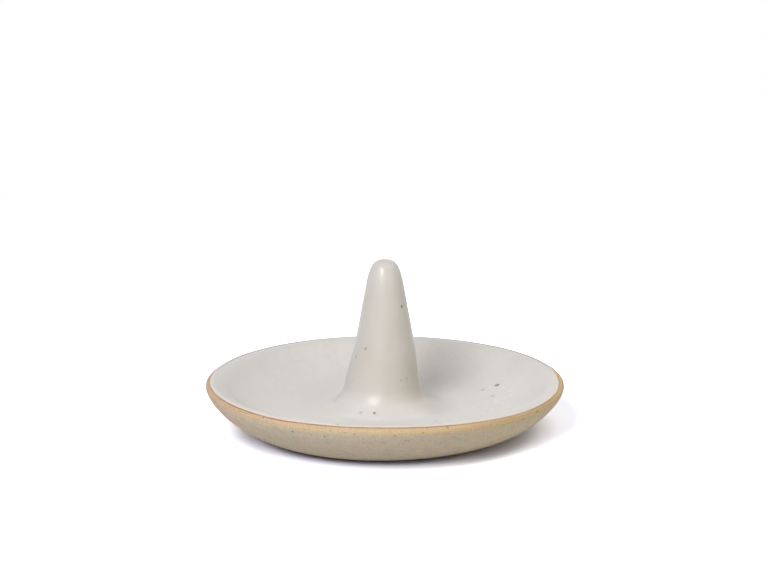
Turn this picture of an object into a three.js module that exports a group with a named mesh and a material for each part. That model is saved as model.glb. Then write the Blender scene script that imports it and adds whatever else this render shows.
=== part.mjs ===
// Ring cone: a shallow stoneware dish with a cone in its middle, for finger rings and small jewellery.
// The dish and the cone are two clay pieces, luted together with slip. One white glaze covers the cone and
// the inside of the dish and ends on top of the lip. The outside and the underside are bare clay.
// Units are millimetres, +Z is up, and the origin is on the table under the middle of the dish.
import * as THREE from "three";

// Dish: radii are measured from the axis, heights from the table.
const DISH_RADIUS = 57.5; // widest point, on the outside of the lip
const WIDEST_HEIGHT = 14.55;
const CREST_RADIUS = 54.4; // top of the lip
const CREST_HEIGHT = 15.95;
const CREST_PULL = 1.2; // how far the lip stays flat outside its crest
const LIP_PULL = 1.25; // how far the lip stays upright above its widest point
const WALL_PULL = 1.8; // how far the outer wall stays upright below its widest point
const LOWER_WALL_PULL = 12.3; // how far the lower wall stays straight above the foot
const LOWER_WALL_SLOPE = 0.3; // radians, from level
const FOOT_EDGE_RADIUS = 40.65; // where the wall rounds under towards the table
const FOOT_EDGE_HEIGHT = 0.95;
const FOOT_OUTER_RADIUS = 36; // the ring that stands on the table
const FOOT_INNER_RADIUS = 31;
const FOOT_RECESS = 1.5; // depth of the turned recess inside the foot ring
const RECESS_SLOPE_WIDTH = 1.5;
const FLOOR_HEIGHT = 7.05; // clay floor around the cone
const FLOOR_EDGE_RADIUS = 34.3; // where the floor starts to curve up
const INNER_CURVE_RADIUS = 23.4; // from the floor up to the inside of the lip
const INNER_CURVE_ANGLE = 0.655; // radians
const INNER_LIP_PULL = 3.6;
const INNER_CREST_PULL = 1.7;
const VENT_RADIUS = 3; // lets the air and steam out of the cone's bore
const SEAT_DEPTH = 1.35; // how far the cone's foot is let into the floor

// Cone
const CONE_HEIGHT = 54.95; // clay tip above the table
const MIDDLE_HEIGHT = 31; // where the cone's radius is given
const MIDDLE_RADIUS = 8.51;
const TAPER = 0.1833; // radius lost for each millimetre of height
const TIP_START_HEIGHT = 46.4; // where the straight side starts to round over
const TIP_SIDE_PULL = 7.4;
const TIP_TOP_PULL = 3.2;
const FLARE_RADIUS = 9.45; // hollow curve from the side out to the floor
const BORE_MOUTH_RADIUS = 5.6;
const BORE_END_RADIUS = 2.4;
const BORE_END_HEIGHT = 44; // where the bore's rounded end starts

// Slip and glaze
const BED_THICKNESS = 0.4; // slip under the cone's foot
const COLLAR_THICKNESS = 0.5; // slip around the edge of the cone's foot
const BED_INNER_RADIUS = 7;
const GLAZE_THICKNESS = 0.4;
const GLAZE_EDGE_THICKNESS = 0.1; // the glaze thins out over the lip
const GLAZE_END = 0.42; // share of the lip's curve, from its crest, that the glaze covers
const BOND_GAP = 0.05; // hairline between two bonded pieces

const TURN_SEGMENTS = 56; // facets around the axis
const TIP_STEPS = 7;
const FLARE_STEPS = 7;
const INNER_CURVE_STEPS = 6;
const INNER_LIP_STEPS = 5;
const GLAZED_LIP_STEPS = 3;
const BARE_LIP_STEPS = 4;
const WALL_STEPS = 8;
const FOOT_STEPS = 3;
const BORE_END_STEPS = 4;

const at = (radius, height) => new THREE.Vector2(radius, height);

// Points of a curve between two shares of its length, the last one included and the first one not.
function along(curve, steps, from = 0, to = 1) {
  const points = [];
  for (let step = 1; step <= steps; step++) {
    points.push(curve.getPoint(from + ((to - from) * step) / steps));
  }
  return points;
}

// A point moved by a distance in a direction, given as an angle from level.
function moved(point, angle, distance) {
  return at(point.x + distance * Math.cos(angle), point.y + distance * Math.sin(angle));
}

// An outline raised off the clay by a height that can vary from point to point.
// The outline runs outwards from the axis, so its upper side is on the left of its way.
function raised(outline, heightAt) {
  return outline.map((point, index) => {
    const height = heightAt(index);
    if (point.x === 0) {
      return at(0, point.y + height);
    }
    const before = outline[Math.max(index - 1, 0)];
    const after = outline[Math.min(index + 1, outline.length - 1)];
    const way = Math.atan2(after.y - before.y, after.x - before.x);
    return moved(point, way + Math.PI / 2, height);
  });
}

// A closed section in radius and height, turned about the vertical axis.
function turned(section) {
  return new THREE.LatheGeometry(section, TURN_SEGMENTS).rotateX(Math.PI / 2);
}

// The cone's outline, from its tip down to the toe of its flare.
const sideSlope = Math.atan(TAPER);
const sideRadius = (height) => MIDDLE_RADIUS + (MIDDLE_HEIGHT - height) * TAPER;
const tipTop = at(0, CONE_HEIGHT);
const tipStart = at(sideRadius(TIP_START_HEIGHT), TIP_START_HEIGHT);
const tip = new THREE.CubicBezierCurve(
  tipTop,
  moved(tipTop, 0, TIP_TOP_PULL),
  moved(tipStart, Math.PI / 2 + sideSlope, TIP_SIDE_PULL),
  tipStart,
);
const flareCentreHeight = FLOOR_HEIGHT + FLARE_RADIUS;
const toeRadius = sideRadius(flareCentreHeight) + FLARE_RADIUS / Math.cos(sideSlope);
const flare = new THREE.EllipseCurve(
  toeRadius,
  flareCentreHeight,
  FLARE_RADIUS,
  FLARE_RADIUS,
  Math.PI + sideSlope,
  1.5 * Math.PI,
);
const coneOutline = [tipTop, ...along(tip, TIP_STEPS), flare.getPoint(0), ...along(flare, FLARE_STEPS)];

// The inside of the dish, from the edge of the floor up to the crest of the lip.
const innerCurve = new THREE.EllipseCurve(
  FLOOR_EDGE_RADIUS,
  FLOOR_HEIGHT + INNER_CURVE_RADIUS,
  INNER_CURVE_RADIUS,
  INNER_CURVE_RADIUS,
  -Math.PI / 2,
  INNER_CURVE_ANGLE - Math.PI / 2,
);
const crest = at(CREST_RADIUS, CREST_HEIGHT);
const innerCurveTop = innerCurve.getPoint(1);
const innerLip = new THREE.CubicBezierCurve(
  innerCurveTop,
  moved(innerCurveTop, INNER_CURVE_ANGLE, INNER_LIP_PULL),
  moved(crest, Math.PI, INNER_CREST_PULL),
  crest,
);
const insideOutline = [
  innerCurve.getPoint(0),
  ...along(innerCurve, INNER_CURVE_STEPS),
  ...along(innerLip, INNER_LIP_STEPS),
];

// The lip from its crest to its widest point, and the outer wall from there down to the table.
const widest = at(DISH_RADIUS, WIDEST_HEIGHT);
const lip = new THREE.CubicBezierCurve(
  crest,
  moved(crest, 0, CREST_PULL),
  moved(widest, Math.PI / 2, LIP_PULL),
  widest,
);
const footEdge = at(FOOT_EDGE_RADIUS, FOOT_EDGE_HEIGHT);
const wall = new THREE.CubicBezierCurve(
  widest,
  moved(widest, -Math.PI / 2, WALL_PULL),
  moved(footEdge, LOWER_WALL_SLOPE, LOWER_WALL_PULL),
  footEdge,
);
const footRounding = new THREE.QuadraticBezierCurve(
  footEdge,
  at(FOOT_EDGE_RADIUS - FOOT_EDGE_HEIGHT / Math.tan(LOWER_WALL_SLOPE), 0),
  at(FOOT_OUTER_RADIUS, 0),
);
const glazedLipOutline = along(lip, GLAZED_LIP_STEPS, 0, GLAZE_END);
const outsideOutline = [
  ...along(lip, BARE_LIP_STEPS, GLAZE_END, 1),
  ...along(wall, WALL_STEPS),
  ...along(footRounding, FOOT_STEPS),
];

// The seat's edge leaves room for the slip collar around the cone's foot.
const seatHeight = FLOOR_HEIGHT - SEAT_DEPTH;
const seatRadius = toeRadius + COLLAR_THICKNESS + 2 * BOND_GAP;
const coneFootHeight = seatHeight + BED_THICKNESS + 2 * BOND_GAP;

function makeDish() {
  const upperSide = [at(seatRadius, FLOOR_HEIGHT), ...insideOutline, ...glazedLipOutline, ...outsideOutline];
  return turned([
    at(VENT_RADIUS, FOOT_RECESS),
    at(FOOT_INNER_RADIUS - RECESS_SLOPE_WIDTH, FOOT_RECESS),
    at(FOOT_INNER_RADIUS, 0),
    ...upperSide.reverse(),
    at(seatRadius, seatHeight),
    at(VENT_RADIUS, seatHeight),
    at(VENT_RADIUS, FOOT_RECESS),
  ]);
}

function makeCone() {
  const boreEnd = new THREE.EllipseCurve(
    0,
    BORE_END_HEIGHT,
    BORE_END_RADIUS,
    BORE_END_RADIUS,
    Math.PI / 2,
    0,
    true,
  );
  return turned([
    at(0, BORE_END_HEIGHT + BORE_END_RADIUS),
    ...along(boreEnd, BORE_END_STEPS),
    at(BORE_MOUTH_RADIUS, coneFootHeight),
    at(toeRadius, coneFootHeight),
    ...coneOutline.toReversed(),
  ]);
}

function makeSlipJoint() {
  const bedBottom = seatHeight + BOND_GAP;
  const bedTop = bedBottom + BED_THICKNESS;
  const collarInner = toeRadius + BOND_GAP;
  const collarOuter = collarInner + COLLAR_THICKNESS;
  return turned([
    at(BED_INNER_RADIUS, bedBottom),
    at(collarOuter, bedBottom),
    at(collarOuter, FLOOR_HEIGHT),
    at(collarInner, FLOOR_HEIGHT),
    at(collarInner, bedTop),
    at(BED_INNER_RADIUS, bedTop),
    at(BED_INNER_RADIUS, bedBottom),
  ]);
}

function makeGlazeCoat() {
  const clay = [...coneOutline, ...insideOutline, ...glazedLipOutline];
  const thinningStart = clay.length - GLAZED_LIP_STEPS - INNER_LIP_STEPS;
  const thicknessAt = (index) =>
    THREE.MathUtils.mapLinear(
      Math.max(index, thinningStart),
      thinningStart,
      clay.length - 1,
      GLAZE_THICKNESS,
      GLAZE_EDGE_THICKNESS,
    );
  const underside = raised(clay, () => BOND_GAP);
  const face = raised(clay, (index) => BOND_GAP + thicknessAt(index));
  return turned([...underside, ...face.reverse()]);
}

function makePiece(name, geometry, colour, roughness) {
  const material = new THREE.MeshStandardMaterial({ color: colour, roughness, metalness: 0 });
  const piece = new THREE.Mesh(geometry, material);
  piece.name = name;
  return piece;
}

const ringCone = new THREE.Group();
ringCone.name = "ring_cone";
ringCone.add(
  makePiece("dish", makeDish(), 0xb3a48c, 0.88),
  makePiece("cone", makeCone(), 0xb3a48c, 0.9),
  makePiece("slip_joint", makeSlipJoint(), 0xc2b299, 0.95),
  makePiece("glaze_coat", makeGlazeCoat(), 0xdbd6d0, 0.42),
);

export default ringCone;
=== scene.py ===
# %% [markdown]
# # A stoneware ring cone
#
# This lesson dresses a small piece of pottery: a shallow dish of bare tan stoneware with a cone in its
# middle, and one satin white glaze over the cone and the inside of the dish. The solids of the part are
# loaded first, as a fixed frame in metres with +Z up. Every piece is then drawn around them in that same
# frame, so nothing has to be moved or fitted afterwards.

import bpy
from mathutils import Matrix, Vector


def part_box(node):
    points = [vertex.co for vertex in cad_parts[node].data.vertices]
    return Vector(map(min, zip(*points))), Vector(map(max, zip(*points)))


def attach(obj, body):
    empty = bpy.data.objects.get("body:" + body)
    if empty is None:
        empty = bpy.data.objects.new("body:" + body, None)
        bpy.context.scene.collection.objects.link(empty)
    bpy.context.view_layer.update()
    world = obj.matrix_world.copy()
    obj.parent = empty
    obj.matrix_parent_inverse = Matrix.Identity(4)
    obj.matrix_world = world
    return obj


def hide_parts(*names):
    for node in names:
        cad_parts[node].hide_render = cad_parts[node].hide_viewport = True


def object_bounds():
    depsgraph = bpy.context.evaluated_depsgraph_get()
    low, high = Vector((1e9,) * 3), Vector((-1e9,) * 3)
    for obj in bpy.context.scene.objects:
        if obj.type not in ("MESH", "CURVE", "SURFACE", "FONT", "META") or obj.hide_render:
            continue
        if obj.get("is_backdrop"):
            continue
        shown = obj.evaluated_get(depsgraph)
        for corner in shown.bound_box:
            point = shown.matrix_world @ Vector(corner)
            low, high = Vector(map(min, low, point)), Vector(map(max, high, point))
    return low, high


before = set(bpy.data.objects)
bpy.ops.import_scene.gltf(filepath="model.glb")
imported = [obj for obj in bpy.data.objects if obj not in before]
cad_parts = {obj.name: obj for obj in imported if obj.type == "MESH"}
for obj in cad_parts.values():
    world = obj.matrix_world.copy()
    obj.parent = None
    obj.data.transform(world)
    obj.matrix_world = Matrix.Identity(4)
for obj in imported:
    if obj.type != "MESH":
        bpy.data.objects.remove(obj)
cad_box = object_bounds()
print("solids in the frame:", sorted(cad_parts))

# %% Tools and units
import math

import bmesh
import bpy
from mathutils import Quaternion, Vector, noise
from mathutils.geometry import interpolate_bezier

MM = 0.001  # sections are drawn in millimetres and built in metres
FULL_TURN = 2 * math.pi

scene = bpy.context.scene
scene.view_settings.view_transform = "Standard"
print("colours are shown as", scene.view_settings.view_transform)

# %% [markdown]
# ## The camera
#
# A product photograph like this one is taken from about a metre away with a long lens, so that the round
# rim keeps a calm oval shape. The camera stands in front of the dish, a little above it, and looks down by
# about thirteen degrees. Its aim point is inside the cone, which puts the dish below the picture's middle.

# %% Camera
LENS = 147.1  # mm, on a sensor 36 mm wide
CAMERA_DISTANCE = 1000 * MM
CAMERA_PITCH = math.radians(13.42)
AIM_POINT = Vector((-0.27, 0.0, 46.06)) * MM

camera = bpy.data.objects.new("camera", bpy.data.cameras.new("camera"))
camera.data.sensor_width = 36
camera.data.lens = LENS
way_back = Vector((0, -math.cos(CAMERA_PITCH), math.sin(CAMERA_PITCH)))
camera.location = AIM_POINT + CAMERA_DISTANCE * way_back
camera.rotation_euler = (math.pi / 2 - CAMERA_PITCH, 0, 0)
scene.collection.objects.link(camera)
scene.camera = camera
print("camera height in mm:", round(camera.location.z / MM, 1))

# %% [markdown]
# ## Short names for shader nodes
#
# A procedural finish is a small machine of nodes: one makes a pattern, the next turns it into a mask, and
# a last one mixes two colours by that mask. Adding nodes by hand takes many lines, so a class gives each
# kind that is needed one short call. It works on any node tree, so the floor and the room can use it too.


# %% Nodes in one line each
def paint(red, green, blue):
    """A colour as a screen names it, each part from 0 to 255, in the linear numbers that a shader uses."""
    parts = [part / 255 for part in (red, green, blue)]
    linear = [p / 12.92 if p <= 0.04045 else ((p + 0.055) / 1.055) ** 2.4 for p in parts]
    return (*linear, 1.0)


class Nodes:
    """The node tree of a material or a world, with short calls that add to it."""

    def __init__(self, block):
        block.use_nodes = True
        self.block = block
        self.tree = block.node_tree

    def add(self, kind, sockets, **settings):
        node = self.tree.nodes.new("ShaderNode" + kind)
        for name, value in settings.items():
            setattr(node, name, value)
        for name, value in sockets.items():
            self.feed(node.inputs[name], value)
        return node

    def feed(self, socket, value):
        if isinstance(value, bpy.types.NodeSocket):
            self.tree.links.new(value, socket)
        else:
            socket.default_value = value

    def calculate(self, operation, first, second=0.0):
        return self.add("Math", {0: first, 1: second}, operation=operation).outputs[0]

    def product(self, value, *others):
        for other in others:
            value = self.calculate("MULTIPLY", value, other)
        return value

    def vector(self, operation, first, second=(0, 0, 0)):
        other = "Scale" if operation == "SCALE" else 1
        node = self.add("VectorMath", {0: first, other: second}, operation=operation)
        return node.outputs["Value" if operation in ("LENGTH", "DISTANCE") else "Vector"]

    def ramp(self, value, low, high, start=0.0, end=1.0, kind="SMOOTHSTEP"):
        """A value between low and high, turned into one between start and end."""
        sockets = {"Value": value, "From Min": low, "From Max": high, "To Min": start, "To Max": end}
        return self.add("MapRange", sockets, interpolation_type=kind).outputs["Result"]

    def mix(self, share, first, second, blend="MIX"):
        node = self.add("Mix", {0: share, 6: first, 7: second}, data_type="RGBA", blend_type=blend)
        return node.outputs[2]

    def mix_value(self, share, first, second):
        return self.add("Mix", {0: share, 2: first, 3: second}).outputs[0]

    def seen_by_eye(self):
        """1 for rays from the camera, from a reflection or through glass, and 0 for bounced light."""
        path = self.add("LightPath", {}).outputs
        direct = self.calculate("MAXIMUM", path["Is Camera Ray"], path["Is Glossy Ray"])
        return self.calculate("MAXIMUM", direct, path["Is Transmission Ray"])


print("a screen's middle grey in linear numbers:", round(paint(128, 128, 128)[0], 3))

# %% [markdown]
# ## The floor
#
# The dish stands on a sheet of white paper. More light would turn the paper white, but it would bleach the
# dish as well, so the floor has two looks. For the light that bounces off it, it is an ordinary pale
# surface. For rays that come straight from the camera, or by a reflection, it is drawn brighter, and more
# so away from the dish and in front of it, so that the open floor turns white and the shadow stays close to
# the foot, with a slightly cool tone. Far away the floor fades into plain white, which hides the horizon.

# %% Floor
FLOOR_SIZE = 8.0
FLOOR_GAP = 0.02 * MM  # keeps the floor's face from coinciding with the foot ring's
WHITE = (1, 1, 1, 1)
PAPER_COLOUR = (0.82, 0.82, 0.82, 1)
SHADOW_TONE = (1.0, 1.03, 1.28, 1)  # under the wall
OPEN_TONE = (1.0, 1.03, 1.16, 1)


def drawn_brightness(paper, place, reach):
    """How bright the paper is drawn, from the shadow close to the foot to the open floor."""
    sideways, backward, _ = paper.add("SeparateXYZ", {0: place}).outputs
    left = paper.ramp(sideways, -28 * MM, -42 * MM)
    right = paper.ramp(sideways, 10 * MM, 36 * MM)
    under_wall = paper.mix_value(left, 0.97, 1.9)
    beside_wall = paper.mix_value(left, 1.6, paper.ramp(backward, 2 * MM, -14 * MM, 2.1, 1.35))
    in_shadow = paper.ramp(reach, 40.5 * MM, 45.5 * MM, under_wall, beside_wall, "LINEAR")
    in_shadow = paper.mix_value(right, in_shadow, 1.2)
    in_the_open = paper.ramp(backward, 0, -40 * MM, 1.85, 2.5)
    return paper.ramp(reach, 47 * MM, 56 * MM, in_shadow, in_the_open, "LINEAR")


def paper_floor():
    paper = Nodes(bpy.data.materials.new("white_paper"))
    bounced = paper.add("BsdfDiffuse", {"Color": PAPER_COLOUR}).outputs[0]
    place = paper.add("TexCoord", {}).outputs["Object"]
    reach = paper.vector("LENGTH", place)
    tone = paper.mix(paper.ramp(reach, 41 * MM, 50 * MM), SHADOW_TONE, OPEN_TONE)
    near_colour = paper.vector("SCALE", tone, drawn_brightness(paper, place, reach))
    near = paper.add("BsdfDiffuse", {"Color": near_colour}).outputs[0]
    far = paper.add("Emission", {"Color": WHITE}).outputs[0]
    shown = paper.add("MixShader", {0: paper.ramp(reach, 0.15, 0.4), 1: near, 2: far}).outputs[0]
    both = paper.add("MixShader", {0: paper.seen_by_eye(), 1: bounced, 2: shown}).outputs[0]
    paper.feed(paper.tree.nodes["Material Output"].inputs["Surface"], both)
    return paper.block


bpy.ops.mesh.primitive_plane_add(size=FLOOR_SIZE, location=(0, 0, cad_box[0][2] - FLOOR_GAP))
floor = bpy.context.object
floor.name = "floor"
floor.data.materials.append(paper_floor())
floor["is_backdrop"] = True
print("floor:", FLOOR_SIZE, "m wide")

# %% [markdown]
# ## The room
#
# Behind the dish hangs a white backdrop, and a dim ceiling is above it. The world stands for both. Like the
# floor it has two looks: it is plain white where it is seen, and as a light it is strong only behind the
# dish, and weaker on the left, which leaves the front of the cone to the lamps.

# %% The white room
CEILING_LIGHT = 0.1
BACKDROP_LIGHT = 1.35
LEFT_SHARE = 0.35  # how much of that light comes from the left
DIM_LIGHT = 0.04  # from the rest of the room
ROOM_COLOUR = (1.0, 0.985, 0.96, 1)

scene.world = bpy.data.worlds.new("white_room")
room = Nodes(scene.world)
direction = room.add("TexCoord", {}).outputs["Generated"]
sideways, backward, upward = room.add("SeparateXYZ", {0: direction}).outputs
ceiling = room.calculate("POWER", room.ramp(upward, 0, 1, 0, CEILING_LIGHT ** 0.5, "LINEAR"), 2)
most = room.ramp(sideways, -0.9, 0.3, LEFT_SHARE * BACKDROP_LIGHT, BACKDROP_LIGHT)
backdrop = room.ramp(backward, 0, 1, DIM_LIGHT, most, "LINEAR")
light = room.calculate("ADD", ceiling, backdrop)
seen = room.seen_by_eye()
level = room.mix_value(seen, light, 1.0)
background = room.tree.nodes["Background"]
room.feed(background.inputs["Color"], room.mix(seen, ROOM_COLOUR, WHITE))
room.feed(background.inputs["Strength"], level)
print("nodes in the white room:", len(room.tree.nodes))

# %% [markdown]
# ## The lamps
#
# Two softboxes at the front left, a high one and a weaker low one, give the cone its light and dark side
# and the dish its shadow. A third one on the right and a cream card at the front right lift the dark
# sides. Sun or point lamps would make hard shadows, so all four are area lamps. Each is placed by the
# direction that it shines from, as a photographer would turn it around the table.

# %% Softboxes
DAYLIGHT = (0.985, 0.99, 1.0)
CREAM_LIGHT = (1.0, 0.9, 0.68)


def softbox(name, watts, colour, size, distance, turn, rise, lean=0):
    """A rectangular lamp that looks at the dish. The turn is in degrees from the camera's side, the rise
    in degrees above the floor, and the lean in degrees from upright."""
    lamp = bpy.data.objects.new(name, bpy.data.lights.new(name, "AREA"))
    lamp.data.shape = "RECTANGLE"
    lamp.data.size, lamp.data.size_y = size
    lamp.data.energy = watts
    lamp.data.color = colour
    turn, rise = math.radians(turn), math.radians(rise)
    level_way = Vector((math.sin(turn), -math.cos(turn), 0))
    way = math.cos(rise) * level_way + Vector((0, 0, math.sin(rise)))
    lamp.location = distance * way
    facing = way.to_track_quat("Z", "Y")
    lamp.rotation_euler = (facing @ Quaternion((0, 0, 1), math.radians(lean))).to_euler()
    scene.collection.objects.link(lamp)
    print(name, "at", [round(part, 2) for part in lamp.location])


softbox("key_softbox", 7.1, DAYLIGHT, (0.38, 0.52), distance=1.1, turn=-27, rise=40, lean=25)
softbox("low_softbox", 1.6, DAYLIGHT, (0.5, 0.36), distance=1.1, turn=-15, rise=25)
softbox("right_softbox", 2.7, (0.99, 0.99, 1.0), (1.0, 0.45), distance=1.4, turn=80, rise=52)
softbox("cream_card", 1.3, CREAM_LIGHT, (0.8, 0.6), distance=1.4, turn=48, rise=24)

# %% [markdown]
# ## Drawing a section
#
# A turned pot is fully described by half of its cross section: how far from the axis, and how high. The
# curves below repeat the solids' own section, with the same few sizes, but with many more points. Curves
# that end in a set direction are cubic Bezier curves, which Blender samples with interpolate_bezier, and
# the hollow of the flare and the inside of the dish are plain arcs. Sizes that the solids already hold,
# such as the radius of the dish, are read from the frame.

# %% Sizes from the frame
DISH_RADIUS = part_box("dish")[1].x / MM
CREST_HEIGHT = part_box("dish")[1].z / MM
CONE_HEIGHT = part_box("cone")[1].z / MM
CONE_FOOT_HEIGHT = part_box("cone")[0].z / MM
TOE_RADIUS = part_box("cone")[1].x / MM
SEAT_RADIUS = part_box("slip_joint")[1].x / MM
SEAT_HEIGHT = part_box("slip_joint")[0].z / MM
FLOOR_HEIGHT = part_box("slip_joint")[1].z / MM
GLAZE_EDGE_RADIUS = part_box("glaze_coat")[1].x / MM
print(f"dish {2 * DISH_RADIUS:.1f} mm across, clay floor at {FLOOR_HEIGHT:.2f} mm")


# %% Curves in radius and height
def at(radius, height):
    return Vector((radius, height))


def moved(point, angle, distance):
    return point + distance * at(math.cos(angle), math.sin(angle))


def bezier(start, start_angle, start_pull, end, end_angle, end_pull, steps):
    """A curve that leaves start and reaches end along set directions, without its first point."""
    first = moved(start, start_angle, start_pull)
    second = moved(end, end_angle, end_pull)
    points = interpolate_bezier(start, first, second, end, steps + 1)
    return [point.to_2d() for point in points[1:]]


def arc(centre, radius, start_angle, end_angle, steps):
    turns = [start_angle + (end_angle - start_angle) * step / steps for step in range(steps + 1)]
    return [moved(centre, turn, radius) for turn in turns]


def straight(start, end, steps):
    return [start.lerp(end, step / steps) for step in range(1, steps + 1)]


# %% The cone's outline
TAPER = 0.1833  # radius the cone loses for each millimetre of height
MIDDLE = at(8.51, 31)  # a point on the cone's side
TIP_START_HEIGHT = 46.4
FLARE_RADIUS = 9.45

side_slope = math.atan(TAPER)
tip_top = at(0, CONE_HEIGHT)
tip_start = at(MIDDLE.x - (TIP_START_HEIGHT - MIDDLE.y) * TAPER, TIP_START_HEIGHT)
tip = bezier(tip_top, 0, 3.2, tip_start, math.pi / 2 + side_slope, 7.4, 26)
flare_centre = at(TOE_RADIUS, FLOOR_HEIGHT + FLARE_RADIUS)
flare = arc(flare_centre, FLARE_RADIUS, math.pi + side_slope, 1.5 * math.pi, 26)
cone_outline = [tip_top, *tip, *straight(tip_start, flare[0], 16), *flare[1:]]
print(f"the flare starts {flare[0].y:.1f} mm above the table")

# %% The inside of the dish
FLOOR_EDGE_RADIUS = 34.3
INNER_CURVE_RADIUS = 23.4
INNER_CURVE_ANGLE = 0.655

bowl_centre = at(FLOOR_EDGE_RADIUS, FLOOR_HEIGHT + INNER_CURVE_RADIUS)
bowl = arc(bowl_centre, INNER_CURVE_RADIUS, -math.pi / 2, INNER_CURVE_ANGLE - math.pi / 2, 24)
crest = at(54.4, CREST_HEIGHT)
inner_lip = bezier(bowl[-1], INNER_CURVE_ANGLE, 3.6, crest, math.pi, 1.7, 20)
inside_outline = [*straight(cone_outline[-1], bowl[0], 6), *bowl[1:], *inner_lip]
print("points on the glazed clay:", len(cone_outline) + len(inside_outline))

# %% The bare lip, wall and foot
LOWER_WALL_SLOPE = 0.3
FOOT_OUTER_RADIUS = 36

widest = at(DISH_RADIUS, 14.55)
foot_edge = at(40.65, 0.95)
lip = bezier(crest, 0, 1.2, widest, math.pi / 2, 1.25, 44)
wall = bezier(widest, -math.pi / 2, 1.8, foot_edge, LOWER_WALL_SLOPE, 12.3, 64)
foot = bezier(foot_edge, math.pi + LOWER_WALL_SLOPE, 2.15, at(FOOT_OUTER_RADIUS, 0), 0, 1.05, 10)
outside_outline = [crest, *lip, *wall, *foot]


def distances(outline):
    """How far each point lies from the first, along the outline."""
    total = [0.0]
    for before, after in zip(outline, outline[1:]):
        total.append(total[-1] + (after - before).length)
    return total


outside_distances = distances(outside_outline)
print(f"bare clay from the crest to the foot: {outside_distances[-1]:.1f} mm")

# %% [markdown]
# ## Made by hand
#
# A pot made by hand is never a perfect circle. The rim rises and falls by about a tenth of a millimetre,
# the foot of the cone was pressed into place slightly to the left of its tip, and its flare is tighter on
# the right, where a thumb smoothed it. Near the foot ring the wall sags a little at the front left. The
# glaze stops along a line that wanders, with three places where it ran further down the lip or stopped
# short. All of this comes from functions of the angle around the axis, made of a few slow waves and some
# noise. The noise is read on a circle, so it joins up after a full turn.

# %% Small irregularities
RIM_WAVE = 0.06  # mm
FOOT_SHIFT = 1.0  # mm, of the cone's foot to the left
FLARE_SQUEEZE = 0.75  # mm, where the flare was smoothed in on the right
WALL_SAG = 0.3  # mm, near the foot ring at the front left


def noise_around(angle, lobes, layer):
    return noise.noise(Vector((lobes * math.sin(angle), lobes * math.cos(angle), layer)))


def smooth_step(value, low, high):
    share = min(max((value - low) / (high - low), 0), 1)
    return share * share * (3 - 2 * share)


def pressed_in(point, angle):
    """How far the maker's hand moved the lower cone and its flare towards the axis."""
    low_on_cone = smooth_step(point.y, 30, 12) * smooth_step(point.y, 7, 10)
    shift = FOOT_SHIFT * low_on_cone * smooth_step(point.x, TOE_RADIUS, 13) * math.sin(angle)
    on_flare = smooth_step(point.y, 14, 9.5) * smooth_step(point.y, 7, 7.5)
    on_flare *= smooth_step(point.x, TOE_RADIUS, 16)
    return shift + FLARE_SQUEEZE * on_flare * max(math.sin(angle - 0.2), 0) ** 2


def sagged(point, angle):
    """How far the wall has sunk near the foot ring."""
    by_foot = smooth_step(point.y, 7, 2) * smooth_step(point.y, 0.1, 0.9) * smooth_step(point.x, 34, 38)
    return WALL_SAG * by_foot * max(math.cos(angle + 0.55), 0) ** 4


def hand_moved(point, angle):
    """A point of the section at this angle, moved as the maker's hand and the kiln have moved it."""
    rim = RIM_WAVE * smooth_step(point.x, 42, 55)
    lift = math.sin(2 * angle + 0.6) + 0.6 * math.sin(3 * angle + 2.1)
    spread = math.sin(2 * angle + 1.9) + 0.7 * noise_around(angle, 2, 3.5)
    return point + at(rim * spread - pressed_in(point, angle), rim * lift - sagged(point, angle))


crest_shifts = [(hand_moved(crest, FULL_TURN * step / 72) - crest).length for step in range(72)]
print(f"the crest moves by up to {max(crest_shifts):.2f} mm")

# %% The wandering edge of the glaze
EDGE_WANDER = 0.16  # mm
GLAZE_RUNS = [
    # degrees from the front to the right, half width in degrees, and how far the glaze has run there
    (44, 28, 0.95),
    (-32, 16, 0.3),
    (93, 15, -0.6),
]
GLAZE_EDGE = next(
    distance
    for point, distance in zip(outside_outline, outside_distances)
    if point.x >= GLAZE_EDGE_RADIUS
)


def glaze_edge(angle):
    """How far outside the crest the glaze ends at this angle, along the lip."""
    edge = GLAZE_EDGE + EDGE_WANDER * (noise_around(angle, 3, 1.5) + 0.5 * noise_around(angle, 14, 7.5))
    for turn, half_width, run in GLAZE_RUNS:
        away = (math.degrees(angle) - turn + 180) % 360 - 180
        edge += run * math.exp(-((away / half_width) ** 2))
    return edge


print(f"the glaze ends {GLAZE_EDGE:.2f} mm outside the crest")

# %% [markdown]
# ## From sections to a mesh
#
# On the wheel one section turns into a round pot. Blender's spin tool does the same with one outline, but
# here every angle has its own slightly different section, so the rings of points are made one after the
# other and joined by faces. Points that meet on the axis are merged into one.


# %% A turned piece
def turned_piece(name, section_at, steps, value_name):
    """A closed mesh turned about the axis. Each section is a list of (radius, height, value) in
    millimetres, and the value is kept on the mesh for the material to read."""
    shape = bmesh.new()
    layer = shape.verts.layers.float.new(value_name)
    rings = []
    for step in range(steps):
        angle = FULL_TURN * step / steps
        ring = []
        for radius, height, value in section_at(angle):
            place = Vector((radius * math.sin(angle), -radius * math.cos(angle), height))
            corner = shape.verts.new(place * MM)
            corner[layer] = value
            ring.append(corner)
        rings.append(ring)
    for ring, following in zip(rings, rings[1:] + rings[:1]):
        for index in range(len(ring) - 1):
            shape.faces.new((ring[index], following[index], following[index + 1], ring[index + 1]))
    bmesh.ops.remove_doubles(shape, verts=shape.verts, dist=0.001 * MM)
    bmesh.ops.recalc_face_normals(shape, faces=shape.faces)
    mesh = bpy.data.meshes.new(name)
    shape.to_mesh(mesh)
    shape.free()
    mesh.shade_smooth()
    mesh.set_sharp_from_angle(angle=math.radians(50))
    piece = bpy.data.objects.new(name, mesh)
    scene.collection.objects.link(piece)
    print(f"{name}: {len(mesh.vertices)} points, {len(mesh.polygons)} faces")
    return piece


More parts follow.
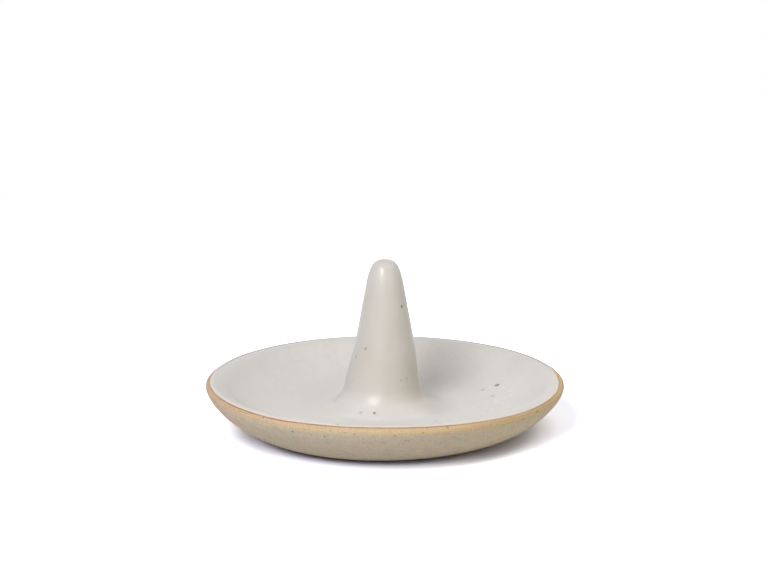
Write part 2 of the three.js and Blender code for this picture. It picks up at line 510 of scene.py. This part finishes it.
# %% [markdown]
# ## The dish
#
# The dish is one piece of clay: a foot ring to stand on, a curved wall, a rounded lip, and inside it the
# floor with the seat where the cone is let in. Its outside stays bare, so the marks of turning are part
# of its shape: very shallow rings on the wall and lip and in the recess under the foot. The value kept on
# each point is its distance from the edge of the glaze, because the kiln toasts the clay along that line.

# %% Turning marks
WALL_RING_DEPTH = 0.012  # mm
WALL_RING_WIDTH = 2.3
LIP_RING_DEPTH = 0.02
LIP_RING_WIDTH = 0.62
RECESS_RING_DEPTH = 0.05
RECESS_RING_WIDTH = 1.7


def turning_mark(distance):
    """Depth of the turning rings on the outside, by the distance from the crest."""
    on_lip = smooth_step(distance, 1.2, 1.8) * smooth_step(distance, 4.2, 3.4)
    on_wall = smooth_step(distance, 4, 6) * smooth_step(distance, 24, 20)
    fine = LIP_RING_DEPTH * on_lip * math.sin(FULL_TURN * distance / LIP_RING_WIDTH)
    return fine + WALL_RING_DEPTH * on_wall * math.sin(FULL_TURN * distance / WALL_RING_WIDTH)


def outward(outline, index):
    """The direction out of the clay at a point of an outline that runs away from the axis."""
    before = outline[max(index - 1, 0)]
    after = outline[min(index + 1, len(outline) - 1)]
    way = after - before
    return at(-way.y, way.x).normalized()


marked_outside = [
    point + turning_mark(distance) * outward(outside_outline, index)
    for index, (point, distance) in enumerate(zip(outside_outline, outside_distances))
]
print("points on the bare outside:", len(marked_outside))

# %% Section of the dish
VENT_RADIUS = 3
FOOT_RECESS = 1.5
RECESS_EDGE_RADIUS = 29.2
RECESS_STEP = 0.25
RECESS_STEPS = 103
BOND_GAP = 0.05
HIDDEN = -5.0  # value for clay that the glaze or the cone covers

foot_inside = [at(31.4, 0), at(31.1, 0.04), at(30.85, 0.2), at(29.75, 1.3), at(29.5, 1.46)]
vent_edge = [at(VENT_RADIUS + 0.4, FOOT_RECESS), at(VENT_RADIUS + 0.12, FOOT_RECESS + 0.12)]
recess_radii = [RECESS_EDGE_RADIUS - RECESS_STEP * step for step in range(RECESS_STEPS)]
recess = [
    at(radius, FOOT_RECESS + RECESS_RING_DEPTH * math.sin(FULL_TURN * radius / RECESS_RING_WIDTH))
    for radius in recess_radii
]
under_side = [*foot_inside, *recess, *vent_edge, at(VENT_RADIUS, FOOT_RECESS + 0.4)]
seat_radius = SEAT_RADIUS + BOND_GAP
seat_height = SEAT_HEIGHT - BOND_GAP
seat = [at(VENT_RADIUS, seat_height), at(seat_radius, seat_height), at(seat_radius, FLOOR_HEIGHT)]
dish_inside = [point for point in inside_outline if point.x > seat_radius]


def dish_section(angle):
    edge = glaze_edge(angle)
    section = [(point, distance - edge) for point, distance in zip(marked_outside, outside_distances)]
    section += [(point, outside_distances[-1]) for point in under_side]
    section += [(point, HIDDEN) for point in [*seat, *dish_inside]]
    return [(*hand_moved(point, angle), value) for point, value in section]


dish = turned_piece("stoneware_dish", dish_section, steps=256, value_name="from_glaze")

# %% [markdown]
# ## The cone
#
# The cone is a second piece of clay with a tapered bore, so that it dries and fires evenly. The glaze hides
# all of it but the bore, which shows from below through the vent in the dish. It is turned again here with
# the same shift of its foot as the glaze on top of it, so that neither cuts into the other.

# %% Section of the cone
BORE_MOUTH_RADIUS = 5.6
BORE_END_RADIUS = 2.4
BORE_END_HEIGHT = 44

bore_end = arc(at(0, BORE_END_HEIGHT), BORE_END_RADIUS, math.pi / 2, 0, 10)
bore = [*bore_end, *straight(bore_end[-1], at(BORE_MOUTH_RADIUS, CONE_FOOT_HEIGHT), 16)]
cone_clay = [*bore, at(TOE_RADIUS, CONE_FOOT_HEIGHT), *reversed(cone_outline)]


def cone_section(angle):
    return [(*hand_moved(point, angle), HIDDEN) for point in cone_clay]


cone = turned_piece("stoneware_cone", cone_section, steps=128, value_name="from_glaze")

# %% [markdown]
# ## The glaze
#
# Glaze is a coat of glass about four tenths of a millimetre thick. It is made as a real layer with an
# underside and a face, because its thickness shows: on the lip it thins out and lets the warm clay shine
# through, and its edge ends in a small rounded bead that catches the light. The value kept on each point
# is the thickness of the coat there, so that the material can colour thin glaze differently.

# %% Thickness of the glaze
GLAZE_THICKNESS = 0.40
BEAD_THICKNESS = 0.2
BEAD_LENGTH = 0.28


def coat_thickness(distance):
    """Thickness of the glaze by the distance left to its edge."""
    thinned = BEAD_THICKNESS + (GLAZE_THICKNESS - BEAD_THICKNESS) * smooth_step(distance, 0.3, 5)
    if distance >= BEAD_LENGTH:
        return thinned
    share = 1 - distance / BEAD_LENGTH
    return thinned * math.sqrt(max(1 - share * share, 0))


def point_on_lip(distance):
    """The point of the bare outline at this distance from the crest."""
    index = next(i for i, reached in enumerate(outside_distances) if reached >= distance)
    before, after = outside_distances[index - 1], outside_distances[index]
    return outside_outline[index - 1].lerp(outside_outline[index], (distance - before) / (after - before))


print("thickness near the edge:", [round(coat_thickness(step / 10), 2) for step in range(5)])

# %% Section of the glaze
COAT_RIPPLE = 0.035  # mm
RIPPLE_SIZE = 7  # mm
UNDERSIDE_SKIP = 3  # the hidden underside keeps one point of three
LIP_STEPS = 22

lip_shares = [1 - (1 - step / LIP_STEPS) ** 2 for step in range(1, LIP_STEPS + 1)]
covered_clay = [*cone_outline, *inside_outline]
covered_distances = distances(covered_clay)


def glaze_section(angle):
    edge = glaze_edge(angle)
    clay = [*covered_clay, *(point_on_lip(edge * share) for share in lip_shares)]
    clay = [hand_moved(point, angle) for point in clay]
    left = [covered_distances[-1] - reached + edge for reached in covered_distances]
    left += [edge * (1 - share) for share in lip_shares]
    underside = []
    face = []
    for index, (point, distance) in enumerate(zip(clay, left)):
        up = outward(clay, index) if index else at(0, 1)
        place = Vector((point.x * math.sin(angle), -point.x * math.cos(angle), point.y))
        thickness = coat_thickness(distance)
        ripple = COAT_RIPPLE * noise.noise(place / RIPPLE_SIZE) * smooth_step(distance, 0.5, 3)
        under = point + BOND_GAP * up
        top = under + (thickness + ripple) * up
        if index % UNDERSIDE_SKIP == 0:
            underside.append((*under, thickness))
        face.append((*top, thickness))
    return [*underside, *reversed(face)]


glaze = turned_piece("satin_glaze", glaze_section, steps=256, value_name="coat")

# %% [markdown]
# ## A ruler for finishes
#
# A finish on a real object has sizes: a grain of sand is half a millimetre wide, a patch of colour a few
# centimetres. This class reads positions in object space and scales them to millimetres, so the size of a
# speck is written as it would be measured with a ruler, and adds the patterns that fired clay needs.


# %% Patterns in millimetres
class Finish(Nodes):
    """A material whose patterns are measured in millimetres on the object."""

    def __init__(self, name):
        super().__init__(bpy.data.materials.new(name))
        self.shader = self.tree.nodes["Principled BSDF"].inputs
        self.place = self.vector("SCALE", self.add("TexCoord", {}).outputs["Object"], 1 / MM)
        self.x, self.y, self.z = self.add("SeparateXYZ", {0: self.place}).outputs
        self.radius = self.vector("LENGTH", self.vector("MULTIPLY", self.place, (1, 1, 0)))

    def cloud(self, size, detail=2.0, layer=0.0):
        """Soft noise from 0 to 1 with lumps of about this size. Each layer is a different pattern."""
        sockets = {"Vector": self.place, "W": layer * size, "Scale": 1 / size, "Detail": detail}
        return self.add("TexNoise", sockets, noise_dimensions="4D").outputs["Fac"]

    def streaks(self, width):
        """Fine lines that run around the axis, as a turning tool leaves them."""
        where = self.vector("MULTIPLY", self.place, (width / 25, width / 25, 1))
        sockets = {"Vector": where, "W": self.radius, "Scale": 1 / width}
        return self.add("TexNoise", sockets, noise_dimensions="4D").outputs["Fac"]

    def around(self, width):
        """Soft noise that changes only with the angle around the axis, in bands of this width in radians."""
        way = self.vector("NORMALIZE", self.vector("MULTIPLY", self.place, (1, 1, 0)))
        return self.add("TexNoise", {"Vector": way, "Scale": 1 / width, "Detail": 2.0}).outputs["Fac"]

    def specks(self, spacing, size, share, softness=0.35, offset=(0, 0, 0)):
        """Round specks of this size on a share of the cells of a loose grid."""
        where = self.vector("ADD", self.place, offset)
        cells = self.add("TexVoronoi", {"Vector": where, "Scale": 1 / spacing})
        reach = size / spacing / 2
        dot = self.ramp(cells.outputs["Distance"], reach * (1 - softness), reach, 1.0, 0.0)
        lot = self.add("SeparateColor", {0: cells.outputs["Color"]}).outputs[0]
        return self.product(dot, self.calculate("LESS_THAN", lot, share))

    def tint(self, colour, mask, strength, other):
        """A colour changed towards another one where the mask is 1, as far as the strength says."""
        return self.mix(self.product(mask, strength), colour, other)

    def kept_value(self, name):
        return self.add("Attribute", {}, attribute_name=name).outputs["Fac"]

    def bump(self, height, depth, below=None):
        """A bump whose height runs from 0 to 1 over this depth in millimetres."""
        node = self.add("Bump", {"Height": height, "Strength": 1.0, "Distance": depth * MM})
        if below is not None:
            self.feed(node.inputs["Normal"], below)
        return node.outputs["Normal"]


# %% [markdown]
# ## Bare stoneware
#
# The clay is a sandy tan that turns warmer towards both sides, and it is painted lighter on the left, as
# painted light on the side that the softboxes light. Patches a few centimetres wide and a mottle of pinker
# and greener tans make it look fired and not painted. A finish like this can be built in steps: each step
# takes the colour so far and tints it through a mask, the way a potter lays one thin wash over another. The
# first step is the clay's own body.

# %% The clay's body
TAN = paint(201, 190, 170)
WARM_TAN = paint(207, 194, 173)
GOLDEN_TAN = paint(216, 199, 166)
# a lighter tan: painted light on the clay's left side
LEFT_LIGHT_TAN = paint(220, 202, 180)
PINK_TAN = paint(208, 184, 168)
GREEN_TAN = paint(184, 178, 150)


def clay_body_and_left_light(clay):
    """The colour of the clay where the kiln hasn't toasted it, with painted light on its left side."""
    colour = clay.mix(clay.cloud(14), TAN, WARM_TAN)
    colour = clay.tint(colour, clay.ramp(clay.x, 0, 52), 0.7, GOLDEN_TAN)
    # painted light: the clay is made lighter on the left, the side that the softboxes light
    colour = clay.tint(colour, clay.ramp(clay.x, -30, -52), 0.6, LEFT_LIGHT_TAN)
    pink = clay.ramp(clay.cloud(3, 2, 6), 0.46, 0.62)
    colour = clay.tint(colour, pink, 0.55, PINK_TAN)
    green = clay.ramp(clay.cloud(2.4, 2, 11), 0.5, 0.66)
    return clay.tint(colour, green, 0.45, GREEN_TAN)


# %% [markdown]
# ## Toasted by the kiln
#
# Along the edge of the glaze the kiln leaves a thin red-brown line, then an orange flush, which is
# strongest on the left, and then a band of ochre that fades into the greyer wall. The distance kept on the
# mesh places all three, and some noise is added to it so that they have no ruled edges. Fine lines from
# turning show in the ochre band, and a tool has scratched the lip on the left.

# %% Ochre band and orange flush
PALE_STRAW = paint(225, 201, 160)
STRAW = paint(221, 193, 144)
ROSY_TOAST = paint(217, 180, 150)
TOAST = paint(222, 182, 148)


def kiln_toasting(clay, colour, from_glaze):
    wandering = clay.calculate("ADD", from_glaze, clay.cloud(2.2, 3, 5))
    ochre = clay.product(clay.ramp(wandering, 2.2, 4.4, 1.0, 0.0), clay.ramp(clay.x, -54, -20, 0.55, 1.0))
    straw = clay.mix(clay.ramp(clay.x, -12, 12), PALE_STRAW, STRAW)
    colour = clay.tint(colour, ochre, 0.8, straw)
    orange = clay.product(
        clay.ramp(wandering, 0.8, clay.ramp(clay.x, 0, -50, 2.4, 4.0), 1.0, 0.0),
        clay.ramp(clay.x, 45, -25, 0.5, 0.9),
        clay.ramp(clay.cloud(4, 2, 21), 0.35, 0.55, 0.7, 1.0),
    )
    toast = clay.mix(clay.ramp(clay.x, -48, 0), ROSY_TOAST, TOAST)
    colour = clay.tint(colour, orange, 0.9, toast)
    lines = clay.ramp(clay.streaks(0.5), 0.3, 0.7, 0.86, 1.05)
    return clay.tint(colour, ochre, 0.6, clay.mix(1.0, colour, lines, "MULTIPLY"))


# %% Scratches and the red-brown line
SCRATCH_BROWN = paint(160, 116, 84)
RUST = paint(158, 121, 86)


def scratched_lip(clay, colour, from_glaze):
    scratches = clay.product(
        clay.ramp(clay.streaks(0.3), 0.58, 0.66),
        clay.ramp(clay.x, -30, -52),
        clay.ramp(clay.cloud(3, 2, 17), 0.48, 0.6),
        clay.ramp(from_glaze, 3.6, 2),
    )
    return clay.tint(colour, scratches, 0.6, SCRATCH_BROWN)


def rust_line(clay, colour, from_glaze):
    rust = clay.product(
        clay.ramp(from_glaze, 0.2, clay.ramp(clay.x, -40, 45, 0.75, 0.4), 1.0, 0.0),
        clay.ramp(clay.cloud(5, 2, 14), 0.35, 0.6, 0.55, 1.0),
        clay.ramp(clay.x, 10, 48, 0.9, 0.4),
        clay.ramp(clay.x, -56, -44, 0.45, 1.0),
    )
    return clay.tint(colour, rust, 0.9, RUST)


# %% [markdown]
# ## Sand and dark spots
#
# Stoneware holds sand and grains of iron. The sand is a fine noise that both shades the clay and roughens
# it, with pale and dark grains scattered in it. Small pits sit in the ochre band at the front. The largest
# dark spots are listed one by one, because a random pattern would move them.

# %% Dark spots on the bare clay
WALL_SPOTS = [
    # degrees from the front to the right, radius, height and size of each spot
    (-29.8, 56.8, 12.7, 1.0),
    (55.6, 57.5, 14.3, 1.0),
    (-40.9, 57.0, 15.4, 0.7),
    (-18.9, 56.6, 12.4, 0.7),
    (19.5, 57.2, 15.3, 0.7),
    (6.4, 56.3, 11.8, 0.6),
]


def on_pot(turn, radius, height):
    """A place in millimetres, from its angle to the right of the front, its radius and its height."""
    angle = math.radians(turn)
    return (radius * math.sin(angle), -radius * math.cos(angle), height)


print("dark spots on the wall and lip:", len(WALL_SPOTS))

# %% Sand and specks
PALE_SAND = paint(232, 220, 198)
DARK_SAND = paint(122, 108, 90)
PIT_BROWN = paint(140, 112, 70)
IRON_GREY = paint(96, 82, 68)
SPOT_BROWN = paint(112, 96, 76)


def sand_and_specks(clay, colour, from_glaze, grain):
    colour = clay.mix(0.55, colour, clay.ramp(grain, 0.3, 0.72, 0.78, 1.12), "MULTIPLY")
    pale = clay.specks(1.1, 0.45, 0.3, offset=(3.1, 1.7, 0.4))
    colour = clay.tint(colour, pale, 0.45, PALE_SAND)
    dark = clay.specks(1.4, 0.45, 0.25)
    colour = clay.tint(colour, dark, 0.6, DARK_SAND)
    pits = clay.product(
        clay.specks(1.4, 0.8, 0.5, offset=(1.2, 0.5, 3.3)),
        clay.ramp(from_glaze, 1.2, 2.2),
        clay.ramp(from_glaze, 4.4, 3.4),
        clay.ramp(clay.x, -35, -10),
    )
    colour = clay.tint(colour, pits, 0.55, PIT_BROWN)
    iron = clay.specks(6.5, 1.2, 0.35, offset=(0.6, 2.3, 5.9))
    return clay.tint(colour, iron, 0.8, IRON_GREY)


def dark_spots(clay, colour, grain):
    for turn, radius, height, size in WALL_SPOTS:
        away = clay.vector("DISTANCE", clay.place, on_pot(turn, radius, height))
        away = clay.calculate("ADD", away, clay.product(grain, 0.3 * size))
        spot = clay.ramp(away, 0.4 * size, 0.8 * size, 1.0, 0.0)
        colour = clay.tint(colour, spot, 0.65, SPOT_BROWN)
    return colour


# %% Stoneware finish
def stoneware_clay():
    clay = Finish("stoneware")
    from_glaze = clay.kept_value("from_glaze")
    grain = clay.cloud(0.45, 3, 2)
    colour = clay_body_and_left_light(clay)
    colour = kiln_toasting(clay, colour, from_glaze)
    colour = scratched_lip(clay, colour, from_glaze)
    colour = rust_line(clay, colour, from_glaze)
    colour = sand_and_specks(clay, colour, from_glaze, grain)
    colour = dark_spots(clay, colour, grain)
    clay.feed(clay.shader["Base Color"], colour)
    clay.feed(clay.shader["Roughness"], clay.ramp(grain, 0.2, 0.8, 0.8, 0.95))
    clay.shader["Specular IOR Level"].default_value = 0.3
    sand = clay.bump(grain, 0.09)
    clay.feed(clay.shader["Normal"], clay.bump(clay.cloud(0.18, 2, 8), 0.03, sand))
    return clay.block


stoneware = stoneware_clay()
for piece in (dish, cone):
    piece.data.materials.append(stoneware)
print("nodes in the stoneware:", len(stoneware.node_tree.nodes))

# %% [markdown]
# ## Satin glaze
#
# The glaze is an off-white that leans to warm grey, with slight clouding and faint runs down the inside of
# the dish. Its left side is painted greyer, as painted shade, and its right side whiter, as painted light.
# It drained off the cone while it was wet, so it is thinner and darker there. The cone's shaded right side
# is painted warmer, as painted shade; beside the cone's foot on the right the glaze is painted darker, as
# the cone's painted shadow; and in front of the foot, where the front lip shades it, it is painted whiter,
# as painted light. Its colour is built up in steps like the clay's.

# %% Glaze in the dish
MILK = paint(219, 214, 210)
BRIGHT_MILK = paint(226, 222, 218)
# grey for the glaze's mottle, and painted shade on the left wall of the dish
GREY_MILK_AND_SHADE = paint(208, 203, 197)
CREAMY_RUN = paint(230, 226, 216)
# a whiter glaze: painted light on the right wall of the dish
LIT_SIDE_WHITE = paint(235, 231, 227)


def poured_glaze_and_painted_sides(glass, cloudy, fine):
    colour = glass.mix(cloudy, MILK, BRIGHT_MILK)
    colour = glass.tint(colour, glass.ramp(fine, 0.35, 0.75), 0.25, GREY_MILK_AND_SHADE)
    runs = glass.product(glass.ramp(glass.around(0.11), 0.4, 0.7), glass.ramp(glass.radius, 32, 44))
    colour = glass.tint(colour, runs, 0.2, CREAMY_RUN)
    # painted shade and painted light: greyer on the left wall, which faces away from the softboxes, and
    # whiter on the right wall, which faces them
    near = glass.ramp(glass.y, 28, 10)
    left = glass.product(glass.ramp(glass.x, -26, -46), near)
    colour = glass.tint(colour, left, 0.35, GREY_MILK_AND_SHADE)
    right = glass.product(glass.ramp(glass.x, 20, 42), near)
    return glass.tint(colour, right, 0.3, LIT_SIDE_WHITE)


# %% Glaze on the cone and around its foot
DRAINED_GREY = paint(205, 199, 190)
# a warmer grey: painted warm shade on the cone's shaded right side
WARM_SHADE_GREY = paint(200, 193, 171)
# a darker grey: the cone's painted shadow beside its foot on the right
TOE_SHADOW_GREY = paint(203, 196, 189)
# a whiter glaze: painted light in front of the cone's foot
FRONT_LIGHT_WHITE = paint(238, 235, 232)


def drained_glaze_and_painted_shading(glass, colour):
    on_cone = glass.product(glass.ramp(glass.radius, 15.5, 10), glass.ramp(glass.z, 45, 52, 1.0, 0.6))
    colour = glass.tint(colour, on_cone, 0.75, DRAINED_GREY)
    # painted shade: the cone's right side, turned away from the softboxes, is made warmer and darker
    wandering = glass.calculate("ADD", glass.x, glass.ramp(glass.cloud(9, 2, 7), 0.3, 0.7, -6, 6))
    warm_shade = glass.product(on_cone, glass.ramp(wandering, -5, 10))
    colour = glass.tint(colour, warm_shade, 0.35, WARM_SHADE_GREY)
    # painted shadow: the glaze beside the cone's foot on the right, where the cone shades the dish, is made
    # darker
    toe_shadow = glass.product(
        glass.ramp(glass.radius, 11, 15),
        glass.ramp(glass.radius, 26, 18),
        glass.ramp(glass.calculate("DIVIDE", glass.x, glass.radius), 0.6, 0.97),
    )
    colour = glass.tint(colour, toe_shadow, 0.78, TOE_SHADOW_GREY)
    # painted light: the floor in front of the cone's foot, which the front lip shades, is made whiter
    front_light = glass.product(
        glass.ramp(glass.radius, 15.5, 18.5),
        glass.ramp(glass.radius, 28, 21),
        glass.ramp(glass.y, -8, -16),
        glass.ramp(glass.x, 18, 6),
    )
    return glass.tint(colour, front_light, 0.5, FRONT_LIGHT_WHITE)


# %% [markdown]
# ## Thin glaze on the lip
#
# A glaze pulls thin over a lip as it melts. The thickness kept on the mesh sets the colour there: a leaner
# grey inside the left lip, a cream line just before the edge, which is partly the thin glaze's colour and
# partly a painted highlight along the bead, a tan bead at the edge itself, and clay showing through on the
# crest at the back.

# %% Glaze on the lip
LIP_GREY = paint(197, 191, 184)
# partly the cream of thin glaze and partly a painted highlight along the bead
CREAM_AND_HIGHLIGHT = paint(238, 221, 207)
BEAD_TAN = paint(214, 178, 150)
CREST_BROWN = paint(166, 146, 128)


def thin_glaze_and_edge_highlight(glass, colour):
    coat = glass.kept_value("coat")
    lean = glass.product(
        glass.ramp(coat, 0.203, 0.24),
        glass.ramp(coat, 0.31, 0.395, 1.0, 0.0),
        glass.ramp(glass.x, -25, -50),
        glass.ramp(glass.y, 18, -16),
    )
    colour = glass.tint(colour, lean, 0.65, LIP_GREY)
    # partly the cream of thin glaze and partly a painted highlight along the bead just before the edge
    thin_edge_and_highlight = glass.product(glass.ramp(coat, 0.2, 0.208, 1.0, 0.0), glass.ramp(glass.x, -56, -40, 0.5, 1.0))
    colour = glass.tint(colour, thin_edge_and_highlight, 0.8, CREAM_AND_HIGHLIGHT)
    bead = glass.ramp(coat, 0.05, 0.17, 1.0, 0.0)
    colour = glass.tint(colour, bead, 0.5, BEAD_TAN)
    far_crest = glass.product(glass.ramp(coat, 0.21, 0.265, 1.0, 0.0), glass.ramp(glass.y, 4, 30))
    return glass.tint(colour, far_crest, 0.9, CREST_BROWN)


# %% [markdown]
# ## Spots in the glaze
#
# Iron in the clay bleeds through the glaze as a few brown spots, each with a soft halo, and as a scatter of
# much smaller freckles. A group of pale specks lies on the right. The spots and the pale specks are listed
# by their places, like the spots on the wall, and the freckles come from a pattern.

# %% Places of the iron spots
IRON_SPOTS = [
    # degrees from the front to the right, radius, height, size and darkness of each spot
    (-12, 15.8, 9.0, 0.8, 0.85),
    (-28, 16.1, 8.8, 1.2, 0.25),
    (49, 7.1, 41.1, 0.85, 0.7),
    (-40, 9.5, 28.0, 0.9, 0.45),
    (-63, 10.1, 24.7, 1.2, 0.25),
    (-55, 11.5, 17.3, 1.1, 0.3),
    (28, 11.3, 18.2, 1.0, 0.2),
    (40, 11.2, 18.5, 1.1, 0.25),
    (118, 41.6, 8.7, 1.45, 0.75),
    (119, 36.6, 7.6, 1.5, 0.3),
    (106, 36.4, 7.6, 1.6, 0.3),
    (40, 25.1, 7.5, 1.0, 0.25),
    (-95, 54.2, 16.2, 0.5, 0.5),
    (-15, 55.4, 16.1, 0.7, 0.5),
]
DARK_SPOT = 0.4  # a spot darker than this shows brown, a paler one grey
print("iron spots in the glaze:", len(IRON_SPOTS))

# %% Places of the pale specks
PALE_SPECKS = [
    # millimetres to the right of the middle and behind it
    (40.8, 11.8),
    (40.7, 7.2),
    (38.7, 5.7),
    (36.0, 2.4),
    (31.4, 12.4),
    (34.5, -6.0),
    (31.1, -10.4),
    (38.7, 15.4),
    (35.7, 5.2),
    (37.6, 0.6),
    (33.1, 2.6),
    (39.4, -3.4),
    (31.9, -5.2),
    (34.3, 19.1),
]
print("pale specks in the glaze:", len(PALE_SPECKS))

# %% Freckles, specks and spots
FRECKLE_BROWN = paint(150, 130, 108)
SPECK_WHITE = paint(238, 237, 240)
HALO_TAN = paint(176, 156, 132)
IRON_BROWN = paint(106, 85, 48)
IRON_VEIL = paint(126, 122, 104)


def freckles_and_specks(glass, colour):
    freckles = glass.specks(3.4, 0.3, 0.16, softness=0.6)
    colour = glass.tint(colour, freckles, 0.35, FRECKLE_BROWN)
    for middle in PALE_SPECKS:
        across = glass.vector("MULTIPLY", glass.vector("SUBTRACT", glass.place, (*middle, 0)), (1, 0.6, 0))
        pale = glass.ramp(glass.vector("LENGTH", across), 0.2, 1.0, 1.0, 0.0)
        colour = glass.tint(colour, pale, 0.42, SPECK_WHITE)
    return colour


def iron_spots(glass, colour, fine):
    for turn, radius, height, size, darkness in IRON_SPOTS:
        away = glass.vector("DISTANCE", glass.place, on_pot(turn, radius, height))
        away = glass.calculate("ADD", away, glass.product(fine, 0.15 * size))
        halo = glass.ramp(away, 0.3 * size, 1.1 * size, 1.0, 0.0)
        colour = glass.tint(colour, halo, 0.35 * darkness, HALO_TAN)
        core = glass.ramp(away, 0.35 * size, 0.85 * size, 1.0, 0.0)
        stain = IRON_BROWN if darkness > DARK_SPOT else IRON_VEIL
        colour = glass.tint(colour, core, darkness, stain)
    return colour


# %% [markdown]
# ## The glaze's surface
#
# The surface is satin, between matt and glossy: its roughness is middling and clouded, and smoother towards
# the tip, where the photograph shows a sharper highlight. A faint bump like the peel of an orange breaks
# up the reflections of the softboxes.


# %% Glaze finish
def satin_glaze():
    glass = Finish("satin_glaze")
    cloudy = glass.cloud(11, 3)
    fine = glass.cloud(1.6, 2, 3)
    colour = poured_glaze_and_painted_sides(glass, cloudy, fine)
    colour = drained_glaze_and_painted_shading(glass, colour)
    colour = thin_glaze_and_edge_highlight(glass, colour)
    colour = freckles_and_specks(glass, colour)
    colour = iron_spots(glass, colour, fine)
    glass.feed(glass.shader["Base Color"], colour)
    clouded = glass.ramp(cloudy, 0.3, 0.7, 0.34, 0.4)
    glass.feed(glass.shader["Roughness"], glass.mix_value(glass.ramp(glass.z, 20, 46), clouded, 0.29))
    glass.shader["Specular IOR Level"].default_value = 0.52
    peel = glass.bump(glass.cloud(2.2, 2, 9), 0.02)
    glass.feed(glass.shader["Normal"], glass.bump(glass.cloud(0.5, 2, 4), 0.004, peel))
    return glass.block


glaze_finish = satin_glaze()
glaze.data.materials.append(glaze_finish)
print("nodes in the glaze:", len(glaze_finish.node_tree.nodes))

# %% [markdown]
# ## The slip
#
# Slip is clay thinned to a cream. The maker brushed it into the seat and pressed the cone in, and a thin
# collar rose around the cone's foot. All of it is under the glaze, so the solid stays as it is and only
# gets the finish of fired slip: the palest and finest of the clays.

# %% Slip finish
SLIP_CREAM = paint(200, 188, 166)
PALE_SLIP = paint(208, 196, 176)


def fired_slip():
    slip = Finish("fired_slip")
    grain = slip.cloud(0.25, 3)
    colour = slip.mix(slip.cloud(9), SLIP_CREAM, PALE_SLIP)
    colour = slip.mix(0.5, colour, slip.ramp(grain, 0.3, 0.7, 0.85, 1.05), "MULTIPLY")
    slip.feed(slip.shader["Base Color"], colour)
    slip.feed(slip.shader["Roughness"], slip.ramp(grain, 0.2, 0.8, 0.85, 0.96))
    slip.feed(slip.shader["Normal"], slip.bump(grain, 0.04))
    return slip.block


slip_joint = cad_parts["slip_joint"]
slip_joint.data.materials.clear()
slip_joint.data.materials.append(fired_slip())
print("finish of the slip:", slip_joint.data.materials[0].name)

# %% [markdown]
# ## The new pieces in place of the solids
#
# The three new pieces take the place of the solids they were drawn around, so each is told which body it
# rides on and which solid it replaces. The sizes before and after are compared last: they should differ by
# no more than the waviness of the rim.

# %% Say what each piece stands for
pieces = [(dish, "dish", "stoneware"), (cone, "cone", "stoneware"), (glaze, "glaze_coat", "glaze")]
for piece, node, finish in pieces:
    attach(piece, "root")
    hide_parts(node)
    print(piece.name, "stands for", node)

# %% Compare the sizes and finish
visual_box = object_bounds()
growth = [max(abs(a - b) for a, b in zip(low, high)) for low, high in zip(cad_box, visual_box)]
print("largest change of a corner in mm:", round(max(growth) / MM, 2))
